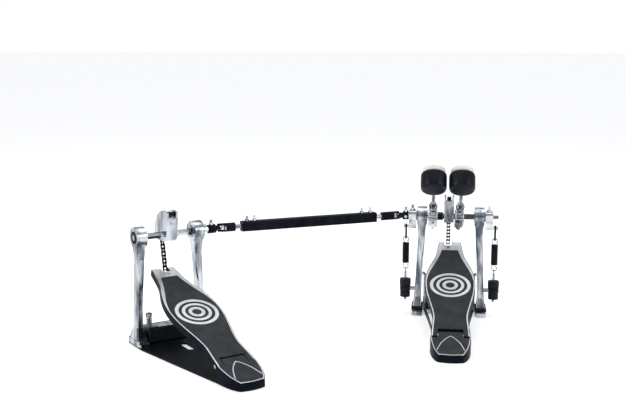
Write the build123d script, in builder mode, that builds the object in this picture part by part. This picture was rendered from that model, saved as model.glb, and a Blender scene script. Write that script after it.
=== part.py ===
from build123d import *
import math
import os

# ---------------------------------------------------------------- driving dimensions (millimetres)
AXLE_H = 188.0            # floor to axle centre
AXLE_FLATS = 9.5          # hexagonal shaft, across flats
JOURNAL_R = 5.0           # round part of a shaft in its bearing
RUNNING = 0.05            # radial running clearance
POST_X = 53.5             # middle of a bearing boss
BOSS_R = 18.0
BOSS_W = 18.0
BEARING_R = 11.0
FOOT_X = 60.0             # middle of a foot
FOOT_TOP = 32.0
CAM_RIM = 41.0            # outer radius of the chain sprocket cam
CHAIN_R = 35.0            # radius of the chain's pins on the cam
CHAIN_PITCH = 6.35        # quarter-inch roller chain
LINK_PLATE, LINK_H = 0.8, 5.6    # thickness and height of a chain plate
INNER_GAP, OUTER_GAP = 1.6, 2.6  # chain's middle to the inner and outer plates
PIN_HALF, CHAIN_PIN_R = 3.9, 1.1
ROLLER_R, ROLLER_BORE = 1.65, 1.15
TIP_Y = 27.9
PRIMARY_TIP_Z, SLAVE_TIP_Z = 132.5, 121.6
HINGE_Y, HINGE_Z = -235.0, 24.0
HEEL_FRONT, HEEL_BACK = -245.5, -298.5
HEEL_REAR_Z = 12.0        # height of the heel plate's rear edge
TONGUE_W = 41.0           # the heel plate's hinge tongue, between the tread's ears
HEEL_W = 68.0
BOARD_T = 5.0             # footboard plate
BOARD_RISE = 6.8          # tread's top above the hinge pin
BOARD_SKIRT = 11.0        # depth of the footboard's side flanges
BEATER_LEAN = 55.0        # degrees from upright, towards the player
BEATER_REACH = 162.0      # axle to the middle of a beater head
ROD_OFFSET = 11.5         # rod passes behind the shaft by this much
HEAD_L, HEAD_BACK = 33.0, 14.8   # beater head, and how much of it is behind the rod's axis
FELT_T = 8.5
HEAD_R = 22.8
ROD_R = 3.2
LEFT_BEATER_X, RIGHT_BEATER_X = -33.5, 15.5
ROCKER_X = 71.8           # middle of a spring rocker
ROCKER_W = 14.0
SPRING_LOW, SPRING_HIGH = 95.5, 137.2
EYE_R, EYE_WIRE = 5.0, 0.9  # eyes at the spring's ends
HOOK_DROP = 20.0            # rocker pin to the spring's upper eye
STUD_Z = 47.0
SPRING_X = 83.5
ROCKER_PIN = (-3.0, 168.0)  # y and z of the pin that carries a spring
SPRING_R = 6.5
STROKE = 52.0             # degrees from rest to the drum
HEX_END = 44.2            # the hexagon runs between the bosses
SPIGOT_R, SPIGOT_BORE = 2.95, 3.0  # the main axle's nose turns inside the beater shaft
HUB_W = 17.0
PRIMARY_CAM, SLAVE_CAM = (-3.35, 18.1), (3.5, 20.0)  # place along the axle, and width
U_JOINT = 99.7            # middle of a universal joint, from the pedal's middle
YOKE_R = 7.9
PIN_R = 1.9               # pins of a joint's cross
PIN_PLAY = 0.35           # lets a joint's cross follow a straight law between its forks
TUBE = 17.6               # square drive tube, outside
TUBE_START, TUBE_LENGTH = 40.6, 262.9
TUBE_BOLTS = (51.3, 65.4, 275.5, 293.0)
HINGE_PIN_R = 3.0
LINK_ROD_R = 4.1
BASE_T = 3.0
SLAVE_POS = (-486.8, -227.7)
SLAVE_YAW = 39.9

os.makedirs("parts", exist_ok=True)

PRIMARY = Plane.XY
SLAVE = Plane(
    origin=(SLAVE_POS[0], SLAVE_POS[1], 0),
    x_dir=(math.cos(math.radians(SLAVE_YAW)), math.sin(math.radians(SLAVE_YAW)), 0),
    z_dir=(0, 0, 1),
)


# ---------------------------------------------------------------- planes given in a pedal's own frame
def turn(home, direction):
    """A direction of a pedal's frame, in the whole object's frame."""
    return home.from_local_coords(Vector(*direction)) - home.origin


def on(home, origin, x_dir=(1, 0, 0), normal=(0, 0, 1)):
    """A sketch plane given by its origin, x direction and normal in a pedal's frame."""
    return Plane(home.from_local_coords(Vector(*origin)), turn(home, x_dir), turn(home, normal))


def side(home, x):
    """Plane across the pedal: its x runs forward, its y up, its normal to the right."""
    return on(home, (x, 0, 0), (0, 1, 0), (1, 0, 0))


def level(home, z):
    return on(home, (0, 0, z))


def save(builder, name):
    builder.part.label = name
    export_step(builder.part, f"parts/{name}.step")


def rod(builder_plane, radius, length):
    """A round bar that grows along the plane's normal, inside the open part."""
    with BuildSketch(builder_plane) as section:
        Circle(radius)
    extrude(section.sketch, amount=length)


def key_bolt(plane, shank_r, shank, head=7.0):
    """A square-headed key bolt: shank, collar and the tall square head."""
    rod(plane, shank_r, shank)
    rod(plane.offset(shank), head * 0.62, 2.0)
    with BuildSketch(plane.offset(shank + 2.0)) as square:
        Rectangle(head * 0.62, head * 0.62)
    extrude(square.sketch, amount=head)


# ---------------------------------------------------------------- frame castings
def make_post(home, name, sign, floor):
    """One upright: bearing boss on top, faceted leg that splays outward, gusseted foot."""
    neck_z, knee_z = AXLE_H - 30, 70.0
    sections = [
        (AXLE_H - 8, POST_X, 16, 30), (neck_z - 8, POST_X + 0.5, 13, 19), (knee_z, FOOT_X - 2, 12, 16),
        (FOOT_TOP, FOOT_X - 0.5, 13, 19), (floor + 8.0, FOOT_X, 20, 36),
    ]
    with BuildPart() as post:
        with BuildSketch(side(home, sign * POST_X).offset(-BOSS_W / 2)):
            with Locations((0, AXLE_H)):
                Circle(BOSS_R)
        extrude(amount=BOSS_W)
        for (z0, x0, w0, d0), (z1, x1, w1, d1) in zip(sections, sections[1:]):
            with BuildSketch(on(home, (sign * x0, 0, z0))):
                RectangleRounded(w0, d0, 3.5)
            with BuildSketch(on(home, (sign * x1, 0, z1))):
                RectangleRounded(w1, d1, 3.5)
            loft()
        # flat foot with a low step at its rear
        with BuildSketch(on(home, (sign * FOOT_X, -2, floor))):
            RectangleRounded(21, 44, 3)
        extrude(amount=9)
        with BuildSketch(on(home, (sign * FOOT_X, -23, floor))):
            RectangleRounded(18, 14, 2)
        extrude(amount=7.7 - floor)
        # bearing seat, open towards the middle of the pedal
        with BuildSketch(side(home, sign * POST_X).offset(-BOSS_W / 2)):
            with Locations((0, AXLE_H)):
                Circle(JOURNAL_R + 3)
        extrude(amount=BOSS_W, mode=Mode.SUBTRACT)
        with BuildSketch(side(home, sign * POST_X).offset(-BOSS_W / 2 + 3)):
            with Locations((0, AXLE_H)):
                Circle(BEARING_R)
        extrude(amount=BOSS_W - 6, mode=Mode.SUBTRACT)
    save(post, name)


def make_bearings(home, name):
    """Two sealed bearings in the bosses."""
    with BuildPart() as bearings:
        for sign in (-1, 1):
            with BuildSketch(side(home, sign * POST_X).offset(-BOSS_W / 2 + 3)):
                with Locations((0, AXLE_H)):
                    Circle(BEARING_R)
                    Circle(JOURNAL_R + RUNNING, mode=Mode.SUBTRACT)
            extrude(amount=BOSS_W - 6)
    save(bearings, name)


# ---------------------------------------------------------------- chain drive, worked out from the circle and its tangent
def chain_route(tip_y, tip_z):
    """Pins of the chain, in a pedal's side view: wrap on the cam, two leaving runs, the hanging run."""
    dy, dz = tip_y, tip_z - AXLE_H
    reach = math.hypot(dy, dz)
    free = math.sqrt(reach**2 - CHAIN_R**2)
    tangent = math.atan2(dz, dy) + math.atan2(free, CHAIN_R)
    links = int(free / CHAIN_PITCH)
    step = 2 * math.asin(CHAIN_PITCH / 2 / CHAIN_R)

    def on_cam(k):
        angle = tangent + k * step
        return (CHAIN_R * math.cos(angle), AXLE_H + CHAIN_R * math.sin(angle))

    top = on_cam(0)
    along = (math.sin(tangent), -math.cos(tangent))
    hanging = [
        (top[0] + k * CHAIN_PITCH * along[0], top[1] + k * CHAIN_PITCH * along[1]) for k in range(links + 1)
    ]
    lower_run = [on_cam(k) for k in (3, 2, 1, 0)]
    upper_run = [on_cam(k) for k in (6, 5, 4, 3)]
    wrap = [on_cam(k) for k in (10, 9, 8, 7, 6)]
    return wrap, upper_run, lower_run, hanging


def make_chain(home, name, x, pins, outer_first):
    """Roller chain along its pins: outer links carry the pins, inner links the rollers."""
    outer = outer_first
    with BuildPart() as chain:
        for (y0, z0), (y1, z1) in zip(pins, pins[1:]):
            turn_by = math.degrees(math.atan2(z1 - z0, y1 - y0))
            middle = ((y0 + y1) / 2, (z0 + z1) / 2)
            for sign in (-1, 1):
                reach = OUTER_GAP if outer else INNER_GAP
                with BuildSketch(side(home, x + sign * reach)):
                    with Locations(Location((*middle, 0), turn_by)):
                        SlotCenterToCenter(CHAIN_PITCH, LINK_H)
                    if not outer:
                        with Locations((y0, z0), (y1, z1)):
                            Circle(ROLLER_BORE, mode=Mode.SUBTRACT)
                extrude(amount=sign * LINK_PLATE)
            with BuildSketch(side(home, x - (PIN_HALF if outer else INNER_GAP))):
                with Locations((y0, z0), (y1, z1)):
                    Circle(CHAIN_PIN_R if outer else ROLLER_R)
                    if not outer:
                        Circle(ROLLER_BORE, mode=Mode.SUBTRACT)
            extrude(amount=2 * (PIN_HALF if outer else INNER_GAP))
            outer = not outer
    save(chain, name)


def cam_outline(r):
    """Closed side outline of the cam about the axle: round in front, slanting flat at the rear."""
    top = (-14, math.sqrt(r**2 - 14**2))
    front = (r * math.cos(math.radians(32)), r * math.sin(math.radians(32)))
    low = (r * math.cos(math.radians(-19)), r * math.sin(math.radians(-19)))
    with BuildLine() as outline:
        ThreePointArc(top, front, low)
        Polyline(low, (2, -14), (-7, -10), top)
    make_face(outline.edges())


def make_cam(home, name, x, width, wall=3.2):
    """Cam with two cheeks, a groove floor for the chain, and a recessed rear bridge."""
    axle = on(home, (x, 0, AXLE_H), (0, 1, 0), (1, 0, 0))
    with BuildPart() as cam:
        for sign in (-1, 1):
            with BuildSketch(axle.offset(sign * width / 2)):
                cam_outline(CAM_RIM)
            extrude(amount=-sign * wall)
        with BuildSketch(axle.offset(-width / 2)):
            cam_outline(CHAIN_R - 3.5)
        extrude(amount=width)
        with BuildSketch(axle.offset(-width / 2)):
            RegularPolygon(AXLE_FLATS / 2 + 0.02, 6, major_radius=False)
        extrude(amount=width, mode=Mode.SUBTRACT)
    save(cam, name)


def hex_bar(home, x0, x1):
    with BuildSketch(side(home, x0)) as section:
        with Locations((0, AXLE_H)):
            RegularPolygon(AXLE_FLATS / 2, 6, major_radius=False)
    extrude(section.sketch, amount=x1 - x0)


def round_bar(home, x0, x1, r):
    with BuildSketch(side(home, x0)) as section:
        with Locations((0, AXLE_H)):
            Circle(r)
    extrude(section.sketch, amount=x1 - x0)


# ---------------------------------------------------------------- beaters
LEAN = math.radians(BEATER_LEAN)
OUT = (0, -math.sin(LEAN), math.cos(LEAN))
STRIKE = (0, math.cos(LEAN), math.sin(LEAN))


def beater_plane(x, reach=0.0):
    """Plane square to a beater rod, which passes behind the shaft."""
    y = reach * OUT[1] - ROD_OFFSET * STRIKE[1]
    z = AXLE_H + reach * OUT[2] - ROD_OFFSET * STRIKE[2]
    return Plane((x, y, z), (1, 0, 0), OUT)


def make_beater(prefix, x):
    """Rod, moulded head with a domed back, and the felt disc that meets the drum."""
    with BuildPart() as stem:
        rod(beater_plane(x, -30), ROD_R, BEATER_REACH + 30 + 10)
    save(stem, f"{prefix}_beater_rod")
    centre = beater_plane(x, BEATER_REACH).origin
    strike = Plane(centre, (1, 0, 0), STRIKE)
    with BuildPart() as head:
        rod(strike.offset(-HEAD_BACK), HEAD_R, HEAD_L)
        fillet(head.edges().filter_by(GeomType.CIRCLE), radius=5.5)
        rod(beater_plane(x, BEATER_REACH - HEAD_R - 4), 5.5, 8)
        with BuildSketch(beater_plane(x, BEATER_REACH - HEAD_R - 5)):
            Circle(ROD_R)
        extrude(amount=HEAD_R + 5 + 10, mode=Mode.SUBTRACT)
    save(head, f"{prefix}_beater_head")
    with BuildPart() as felt:
        rod(strike.offset(HEAD_L - HEAD_BACK), HEAD_R - 4, FELT_T)
    save(felt, f"{prefix}_beater_felt")


def make_hub(name, x, width, bore_r):
    """Split block that clamps on the shaft and holds a beater rod; a round bore unless bore_r is None."""
    axle = side(PRIMARY, x - width / 2)
    with BuildPart() as hub:
        with BuildSketch(axle):
            with Locations(Location((0, AXLE_H, 0), 90 + BEATER_LEAN)):
                Circle(12)
                with Locations((5, 9)):
                    RectangleRounded(38, 18, 3)
        extrude(amount=width)
        with BuildSketch(axle):
            with Locations((0, AXLE_H)):
                if bore_r:
                    Circle(bore_r)
                else:
                    RegularPolygon(AXLE_FLATS / 2, 6, major_radius=False)
        extrude(amount=width, mode=Mode.SUBTRACT)
        # pinch slot across the outer end of the block
        with BuildSketch(beater_plane(x, 17)):
            with Locations((0, -2)):
                Rectangle(width + 2, 26)
        extrude(amount=1.4, mode=Mode.SUBTRACT)
        with BuildSketch(beater_plane(x, -30)):
            Circle(ROD_R)
        extrude(amount=80, mode=Mode.SUBTRACT)
    save(hub, name)


# ---------------------------------------------------------------- spring gear
def ring(plane, major, minor):
    """A wire ring that lies in the plane, inside the open part."""
    section = Plane(plane.origin + plane.x_dir * major, plane.x_dir, plane.y_dir)
    with BuildSketch(section) as wire:
        Circle(minor)
    revolve(wire.sketch, axis=Axis(plane.origin, plane.z_dir), revolution_arc=360)


def make_rocker(name, sign):
    """Clamp block on a shaft end, with a tab that carries the spring pin."""
    with BuildPart() as rocker:
        with BuildSketch(side(PRIMARY, sign * ROCKER_X - ROCKER_W / 2)):
            with Locations((0, AXLE_H)):
                RectangleRounded(20, 20, 4)
            with Locations((ROCKER_PIN[0] + 1, AXLE_H - 14)):
                RectangleRounded(12, 20, 3)
        extrude(amount=ROCKER_W)
        with BuildSketch(side(PRIMARY, sign * ROCKER_X - ROCKER_W / 2)):
            with Locations((0, AXLE_H)):
                Circle(JOURNAL_R)
            with Locations((-6, AXLE_H + 5)):
                Rectangle(12, 1.2)
        extrude(amount=ROCKER_W, mode=Mode.SUBTRACT)
        pin_start = sign * (ROCKER_X + ROCKER_W / 2)
        with BuildSketch(on(PRIMARY, (pin_start, *ROCKER_PIN), (0, 1, 0), (sign, 0, 0))):
            Circle(2.6)
        extrude(amount=7.5)
        with BuildSketch(on(PRIMARY, (pin_start + sign * 7.5, *ROCKER_PIN), (0, 1, 0), (sign, 0, 0))):
            Circle(5)
        extrude(amount=2)
    save(rocker, name)


def make_link(name, sign):
    """Flat hook from the rocker pin down to the spring's upper eye."""
    y, z = ROCKER_PIN
    with BuildPart() as link:
        with BuildSketch(side(PRIMARY, sign * SPRING_X - 1.6)):
            with Locations(Location((y, z - HOOK_DROP / 2, 0), 90)):
                SlotCenterToCenter(HOOK_DROP, 9.5)
            with Locations((y, z)):
                Circle(2.6 + RUNNING, mode=Mode.SUBTRACT)
            with Locations((y, z - HOOK_DROP - 0.5)):
                Circle(3.2, mode=Mode.SUBTRACT)
        extrude(amount=3.2)
    save(link, name)


def make_spring(name, sign):
    """Close-wound return spring, as the sleeve that its coils fill, with its two eyes."""
    y = ROCKER_PIN[0]
    x = sign * SPRING_X
    with BuildPart() as spring:
        rod(on(PRIMARY, (x, y, SPRING_LOW)), SPRING_R, SPRING_HIGH - SPRING_LOW)
        for eye_z in (SPRING_LOW - EYE_R - 0.4, SPRING_HIGH + EYE_R + 0.4):
            ring(on(PRIMARY, (x, y, eye_z), (1, 0, 0), (0, -1, 0)), EYE_R, EYE_WIRE)
    save(spring, name)


def make_tension_rod(name, sign):
    """Threaded eye bolt, linked into the spring's lower eye, which passes down through stud and knobs."""
    x, y = sign * SPRING_X, ROCKER_PIN[0]
    eye_z = SPRING_LOW - 2 * EYE_R - 0.4 - 4 + 2.2
    with BuildPart() as bolt:
        ring(on(PRIMARY, (x, y, eye_z), (0, 1, 0), (1, 0, 0)), 4, EYE_WIRE)
        rod(on(PRIMARY, (x, y, 24)), 2.4, eye_z - 4.2 - 24)
    save(bolt, name)


def make_tension_knob(name, sign):
    """Knurled upper knob and the lock nut under the stud."""
    x, y = sign * SPRING_X, ROCKER_PIN[0]
    with BuildPart() as knob:
        for low, high, r in ((52.2, 66, 10.6), (30, 41.8, 9.6)):
            rod(on(PRIMARY, (x, y, low)), r, high - low)
        with BuildSketch(on(PRIMARY, (x, y, 29))):
            Circle(2.4 + RUNNING)
        extrude(amount=40, mode=Mode.SUBTRACT)
    save(knob, name)


def make_spring_stud(name, sign):
    """Swivelling stud on a leg, with an eye that guides the tension rod."""
    with BuildPart() as stud:
        y = ROCKER_PIN[0]
        rod(on(PRIMARY, (sign * 65.6, y, STUD_Z), (0, 1, 0), (sign, 0, 0)), 4, 12)
        rod(on(PRIMARY, (sign * SPRING_X, y, STUD_Z - 5)), 7.5, 10)
        with BuildSketch(on(PRIMARY, (sign * SPRING_X, y, STUD_Z - 5))):
            Circle(2.4 + RUNNING)
        extrude(amount=10, mode=Mode.SUBTRACT)
    save(stud, name)


# ---------------------------------------------------------------- footboard and heel
BOARD_MARKS = [(0, 20.5), (26, 23.5), (54, 28), (80, 36.5), (108, 43), (136, 45.2), (164, 43.2), (190, 38.3),
               (216, 33), (238, 30.4), (262, 31.6)]
BOARD_END = 289.2
NOTCH_START = 270.0


def board_plane(home, tip_z):
    """Top face of the footboard: its y runs to the tip, its normal out of the tread."""
    run, rise = TIP_Y - HINGE_Y, tip_z - HINGE_Z - BOARD_RISE
    length = math.hypot(run, rise)
    return on(home, (0, TIP_Y, tip_z), (1, 0, 0), (0, -rise / length, run / length))


def board_face(shrink, start, end):
    """Waisted outline of the tread, from the tip end to the heel end."""
    inner = [(w - shrink, -s) for s, w in BOARD_MARKS if start < s < end - 6]
    right = [(BOARD_MARKS[0][1] - shrink if start == 0 else inner[0][0] - 1, -start), *inner, (33 - shrink, -end)]
    with BuildLine() as outline:
        Spline(*right)
        Line(right[-1], (-right[-1][0], right[-1][1]))
        Spline(*[(-x, y) for x, y in reversed(right)])
        Line((-right[0][0], right[0][1]), right[0])
    make_face(outline.edges())


def make_footboard(home, name, tip_z, chain_x):
    """Cast tread with side flanges, chain notch between two horns, and hinge lobes at the heel."""
    top = board_plane(home, tip_z)
    with BuildPart() as board:
        with BuildSketch(top):
            board_face(0, 0, BOARD_END)
        extrude(amount=-BOARD_SKIRT)
        with BuildSketch(top.offset(-BOARD_T)):
            board_face(4.5, 34, NOTCH_START - 4)
        extrude(amount=-BOARD_SKIRT, mode=Mode.SUBTRACT)
        with BuildSketch(top):
            with Locations((chain_x, -6)):
                Rectangle(14, 13)
            with Locations((0, -(NOTCH_START + BOARD_END) / 2)):
                Rectangle(TONGUE_W + 2, BOARD_END - NOTCH_START + 1)
            with Locations((chain_x, -21)):
                Circle(2.1)
        extrude(amount=-BOARD_SKIRT, mode=Mode.SUBTRACT)
        with BuildSketch(side(home, -40)):
            with Locations((HINGE_Y, HINGE_Z)):
                Circle(HINGE_PIN_R + RUNNING)
        extrude(amount=80, mode=Mode.SUBTRACT)
    save(board, name)


def heel_outline():
    """Plan of the heel plate: sides that draw in towards a slightly curved rear edge."""
    sides = [(HEEL_W / 2 - 1.5, -259), (HEEL_W / 2 - 4.8, -276.5), (21.5, HEEL_BACK + 4)]
    corner = (HEEL_W / 2, HEEL_FRONT)
    mirrored = [(-x, y) for x, y in reversed(sides)]
    with BuildLine() as outline:
        Spline(corner, *sides)
        ThreePointArc(sides[-1], (0, HEEL_BACK), mirrored[0])
        Spline(*mirrored, (-corner[0], corner[1]))
        Line((-corner[0], corner[1]), corner)
    make_face(outline.edges())


def make_heel(home, name, tip_z, bottom):
    """Heel plate with a hinge tongue in front; its top leaves the tread's line and falls more gently."""
    slope = (tip_z - HINGE_Z - BOARD_RISE) / (TIP_Y - HINGE_Y)
    front_z = HINGE_Z + BOARD_RISE + slope * (HEEL_FRONT - HINGE_Y)
    run, rise = HEEL_FRONT - HEEL_BACK, front_z - HEEL_REAR_Z
    length = math.hypot(run, rise)
    top = on(home, (0, HEEL_FRONT, front_z), (1, 0, 0), (0, -rise / length, run / length))
    with BuildPart() as heel:
        with BuildSketch(level(home, bottom)):
            heel_outline()
        extrude(amount=40)
        with BuildSketch(side(home, -TONGUE_W / 2)):
            with Locations((HINGE_Y - 4, HINGE_Z - 1)):
                Rectangle(20, 26)
        extrude(amount=TONGUE_W)
        split(bisect_by=top, keep=Keep.BOTTOM)
        with BuildSketch(side(home, -TONGUE_W / 2)):
            with Locations((HINGE_Y, HINGE_Z)):
                Circle(HINGE_PIN_R)
        extrude(amount=TONGUE_W, mode=Mode.SUBTRACT)
    save(heel, name)


def make_hinge_pin(home, name):
    with BuildPart() as pin:
        with BuildSketch(side(home, -33)):
            with Locations((HINGE_Y, HINGE_Z)):
                Circle(HINGE_PIN_R)
        extrude(amount=66)
    save(pin, name)


def make_radius_rods(home, name):
    """Two bent wire rods that hold the heel plate at its distance from the posts."""
    with BuildPart() as rods:
        for sign in (-1, 1):
            start = home.from_local_coords(Vector(sign * 51.2, 2, 76))
            bends = [(sign * 46, 2, 76), (sign * 45, 0, 4.5), (sign * 30, -140, 4.5), (sign * 30, HEEL_FRONT, 4.5)]
            with BuildLine():
                FilletPolyline(start, *[home.from_local_coords(Vector(*p)) for p in bends], radius=5)
            with BuildSketch(on(home, (sign * 51.2, 2, 76), (0, 1, 0), (-sign, 0, 0))):
                Circle(2.8)
            sweep()
    save(rods, name)


def make_cross_block(home, name, clamp, floor):
    """Bar between the feet; on the primary it also carries the hoop clamp's lower plate and lugs."""
    half = FOOT_X - 10.5
    with BuildPart() as block:
        with BuildSketch(side(home, -half)):
            with Locations((-2, floor + 14)):
                RectangleRounded(30, 28, 3)
            with Locations((-15, floor + 16)):
                Rectangle(6, 14, mode=Mode.SUBTRACT)
        extrude(amount=2 * half)
        if clamp:
            for sign in (-1, 1):
                with BuildSketch(level(home, 0)):
                    with Locations((sign * 44.4, -8)):
                        Rectangle(11, 26)
                extrude(amount=40, mode=Mode.SUBTRACT)
            with BuildSketch(level(home, 0)):
                with Locations((0, 34)):
                    Rectangle(48, 48)
            extrude(amount=5)
            rod(on(home, (0, 21, 0)), 8, 13)
            for sign in (-1, 1):
                with BuildSketch(side(home, sign * 24 - 3)):
                    with Locations((7, 32)):
                        RectangleRounded(12, 16, 4)
                extrude(amount=6)
            with BuildSketch(side(home, -24)):
                with Locations((7, 34)):
                    Circle(3)
            extrude(amount=48)
            with BuildSketch(level(home, 0)):
                with Locations((0, 21)):
                    Circle(3 + RUNNING)
            extrude(amount=14, mode=Mode.SUBTRACT)
    save(block, name)


def make_hoop_clamp(home):
    """Upper jaw and the bolt that pulls it down on the drum hoop."""
    with BuildPart() as jaw:
        with BuildSketch(side(home, -20)):
            with BuildLine():
                FilletPolyline(
                    (1, 30), (10, 29.2), (40, 32), (45, 24), (57, 24), (57, 31), (50, 38), (8, 39.5), (1, 38),
                    radius=1.5, close=True,
                )
            make_face()
        extrude(amount=40)
        with BuildSketch(side(home, -20)):
            with Locations((7, 34)):
                Circle(3 + RUNNING)
        extrude(amount=40, mode=Mode.SUBTRACT)
        with BuildSketch(level(home, 20)):
            with Locations((0, 21)):
                Circle(4.5)
        extrude(amount=30, mode=Mode.SUBTRACT)
    save(jaw, "hoop_clamp_jaw")
    with BuildPart() as bolt:
        key_bolt(on(home, (0, 21, 2)), 3, 38, 9)
    save(bolt, "hoop_clamp_bolt")


def make_base_plate(home, name):
    """Flat steel floor plate under the slave pedal, with a slot and a folded edge."""
    with BuildPart() as plate:
        with BuildSketch(level(home, 0)):
            with BuildLine():
                FilletPolyline(
                    (-69, 26), (-69, -34), (-HEEL_W / 2, HEEL_FRONT), (-30, HEEL_FRONT - 20),
                    (30, HEEL_FRONT - 20), (HEEL_W / 2, HEEL_FRONT), (69, -34), (69, 26), radius=5, close=True,
                )
            make_face()
            heel_outline()
            with Locations(Location((3, -62, 0), 90)):
                SlotOverall(40, 12, mode=Mode.SUBTRACT)
        extrude(amount=BASE_T)
    save(plate, name)


# ---------------------------------------------------------------- universal joints and drive shaft
LINK_RIGHT = Vector(-U_JOINT, 0, AXLE_H)
LINK_LEFT = SLAVE.from_local_coords(Vector(U_JOINT, 0, AXLE_H))
LINK_AXIS = (LINK_RIGHT - LINK_LEFT).normalized()
LINK_LENGTH = (LINK_RIGHT - LINK_LEFT).length


def pin_direction(axis):
    """A driving yoke's pin at rest: level when the pedal is half way down."""
    level_pin = Vector(0, 0, 1).cross(axis)
    return level_pin.rotate(Axis((0, 0, 0), axis), STROKE / 2)


def make_yoke(name, centre, axis, pin, hub_near, hub_far, stem=0, ear=3.5):
    """Fork of a universal joint, bored for its shaft, or forged on its own rod where a stem is given."""
    toward = -axis
    with BuildPart() as yoke:
        rod(Plane(centre + axis * hub_near, z_dir=axis), YOKE_R, hub_far - hub_near)
        for sign in (-1, 1):
            face = Plane(centre + pin * (4.4 * sign), x_dir=toward, z_dir=pin * sign)
            with BuildSketch(face):
                Circle(ear)
                with Locations((-hub_near / 2, 0)):
                    Rectangle(hub_near + 0.2, 2 * ear)
            extrude(amount=2.8)
            with BuildSketch(face):
                Circle(PIN_R + PIN_PLAY)
            extrude(amount=2.8, mode=Mode.SUBTRACT)
        if stem:
            rod(Plane(centre + axis * hub_far, z_dir=axis), LINK_ROD_R, stem)
        else:
            with BuildSketch(Plane(centre + axis * (hub_near + 3), z_dir=axis)):
                Circle(JOURNAL_R)
            extrude(amount=hub_far - hub_near - 3, mode=Mode.SUBTRACT)
    save(yoke, name)


def make_cross(name, centre, pins):
    """Spider of a universal joint: a block with four pins."""
    with BuildPart() as cross:
        for pin, radius in ((pins[0], PIN_R), (pins[1], PIN_R), (pins[0].cross(pins[1]), 2.2)):
            reach = 7.0 if radius == PIN_R else 3.0
            rod(Plane(centre - pin * reach, z_dir=pin), radius, 2 * reach)
        with BuildSketch(Plane(centre - pins[0] * 3, x_dir=pins[1], z_dir=pins[0])):
            Rectangle(6, 6)
        extrude(amount=6)
    save(cross, name)


def link_point(s):
    """Point on the drive shaft's line, at a distance from the left joint."""
    return LINK_LEFT + LINK_AXIS * s


def make_drive_shaft():
    """Square tube between two rods, with pairs of key bolts on top of its ends."""
    up = Vector(0, 0, 1)
    with BuildPart() as tube:
        with BuildSketch(Plane(link_point(TUBE_START), x_dir=up, z_dir=LINK_AXIS)):
            RectangleRounded(TUBE, TUBE, 2.2)
            Circle(LINK_ROD_R + RUNNING, mode=Mode.SUBTRACT)
        extrude(amount=TUBE_LENGTH)
    save(tube, "drive_tube")
    with BuildPart() as bolts:
        for s in TUBE_BOLTS:
            key_bolt(Plane(link_point(s) + up * (TUBE / 2), z_dir=up), 3.6, 1.5, 6.0)
    save(bolts, "drive_tube_key_bolts")


# ---------------------------------------------------------------- whole assembly
for home, prefix, tip_z, chain_x, cam_w in (
    (PRIMARY, "primary", PRIMARY_TIP_Z, *PRIMARY_CAM),
    (SLAVE, "slave", SLAVE_TIP_Z, *SLAVE_CAM),
):
    on_floor = 0.0 if prefix == "primary" else BASE_T
    make_post(home, f"{prefix}_post_left", -1, on_floor)
    make_post(home, f"{prefix}_post_right", 1, on_floor)
    make_bearings(home, f"{prefix}_bearings")
    make_cam(home, f"{prefix}_cam", chain_x, cam_w)
    make_footboard(home, f"{prefix}_footboard", tip_z, chain_x)
    make_heel(home, f"{prefix}_heel_plate", tip_z, on_floor)
    make_hinge_pin(home, f"{prefix}_hinge_pin")
    make_cross_block(home, f"{prefix}_cross_block", prefix == "primary", on_floor)
    wrap, upper, lower, hanging = chain_route(TIP_Y - 6, tip_z - 6)
    make_chain(home, f"{prefix}_chain_wrap", chain_x, wrap, False)
    make_chain(home, f"{prefix}_chain_upper", chain_x, upper, False)
    make_chain(home, f"{prefix}_chain_lower", chain_x, lower, True)
    make_chain(home, f"{prefix}_chain_hanging", chain_x, hanging, False)

make_radius_rods(PRIMARY, "primary_radius_rods")
make_hoop_clamp(PRIMARY)
make_base_plate(SLAVE, "slave_base_plate")
for sign, word in ((-1, "left"), (1, "right")):
    make_rocker(f"{word}_rocker", sign)
    make_link(f"{word}_spring_hook", sign)
    make_spring(f"{word}_spring", sign)
    make_tension_rod(f"{word}_tension_rod", sign)
    make_tension_knob(f"{word}_tension_knobs", sign)
    make_spring_stud(f"{word}_spring_stud", sign)

make_beater("left", LEFT_BEATER_X)
make_beater("right", RIGHT_BEATER_X)
make_hub("left_beater_hub", LEFT_BEATER_X, HUB_W, JOURNAL_R)
make_hub("right_beater_hub", RIGHT_BEATER_X, HUB_W, None)

with BuildPart() as main_axle:
    round_bar(PRIMARY, -22, -14.2, SPIGOT_R)
    hex_bar(PRIMARY, -14.2, HEX_END)
    round_bar(PRIMARY, HEX_END, 79.5, JOURNAL_R)
    round_bar(PRIMARY, 79.5, 89, 3.4)
save(main_axle, "main_axle")

with BuildPart() as beater_shaft:
    round_bar(PRIMARY, -87.4, -24.8, JOURNAL_R)
    round_bar(PRIMARY, -24.8, -14.8, 7.0)
    with BuildSketch(side(PRIMARY, -23)):
        with Locations((0, AXLE_H)):
            Circle(SPIGOT_BORE)
    extrude(amount=9, mode=Mode.SUBTRACT)
save(beater_shaft, "slave_beater_shaft")

with BuildPart() as slave_axle:
    round_bar(SLAVE, -63, -HEX_END, JOURNAL_R)
    hex_bar(SLAVE, -HEX_END, HEX_END)
    round_bar(SLAVE, HEX_END, 86.7, JOURNAL_R)
save(slave_axle, "slave_axle")

with BuildPart() as key_bolts:
    key_bolt(on(PRIMARY, (ROCKER_X, 0, AXLE_H + 10)), 3.4, 1.5, 7)
    key_bolt(on(PRIMARY, (RIGHT_BEATER_X - 3, -13.5, AXLE_H - 19), (1, 0, 0), (0.3, -0.9, 0.1)), 3.4, 2, 6)
save(key_bolts, "main_axle_key_bolts")

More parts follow.
